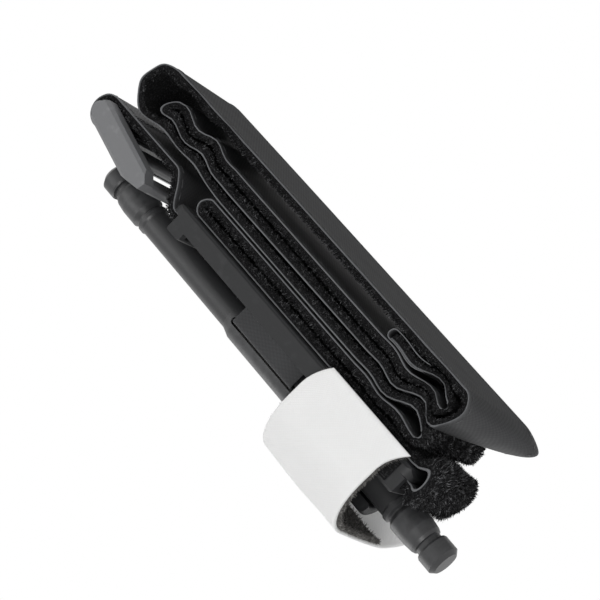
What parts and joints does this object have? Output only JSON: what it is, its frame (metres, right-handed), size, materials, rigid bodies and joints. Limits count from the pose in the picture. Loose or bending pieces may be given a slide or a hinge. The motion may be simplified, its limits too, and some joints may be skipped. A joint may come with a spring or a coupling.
{
  "type": "windlass tourniquet",
  "caption": "Folded windlass tourniquet: a self-gripping band in layers under a base plate, with a rod in an open hook, a white strap over it and a friction buckle.",
  "frame": {"origin": "on the rod's turning axis, on the flat back of the folded band", "axes": "+X along the rod towards the buckle, +Z from the flat back to the rod, -Y the open side of the hook"},
  "size_m": [0.153, 0.0523, 0.0482],
  "materials": {
    "plate_plastic": "matte moulded",
    "clip_plastic": "matte moulded",
    "rod_plastic": "satin moulded",
    "buckle_plastic": "satin moulded",
    "grip_patch": "hook and loop",
    "pull_band": "woven",
    "band_tape": "woven",
    "band_pile": "hook and loop pile",
    "band_tip": "sealed, smooth",
    "strap_white": "woven, writable",
    "strap_lining": "hook and loop"
  },
  "bodies": {
    "pack": {"base_plate": "plate_plastic", "windlass_clip": "clip_plastic", "grip_patch": "grip_patch", "band_tape": "band_tape", "inner_band": "pull_band", "band_pile": "band_pile", "band_tip": "band_tip"},
    "windlass": {"windlass_rod": "rod_plastic", "inner_band_loop": "pull_band"},
    "strap": {"time_strap": "strap_white", "strap_lining": "strap_lining"},
    "buckle": {"buckle_frame": "buckle_plastic"}
  },
  "joints": [
    {"name": "windlass_turn", "type": "hinge", "parent": "pack", "child": "windlass", "pos_m": [0, 0, 0.0357], "axis": [0, 0, 1], "range_deg": [0, 90]},
    {"name": "strap_open", "type": "hinge", "parent": "pack", "child": "strap", "pos_m": [-0.039, 0.025, 0.0276], "axis": [-1, 0, 0], "range_deg": [0, 180]},
    {"name": "buckle_rock", "type": "hinge", "parent": "pack", "child": "buckle", "pos_m": [0.0755, 0, 0.02229], "axis": [0, -1, 0], "range_deg": [-1.5, 10]}
  ],
  "couplings": [
    {"joint": "strap_open", "follows": "windlass_turn", "ratio": 2}
  ]
}
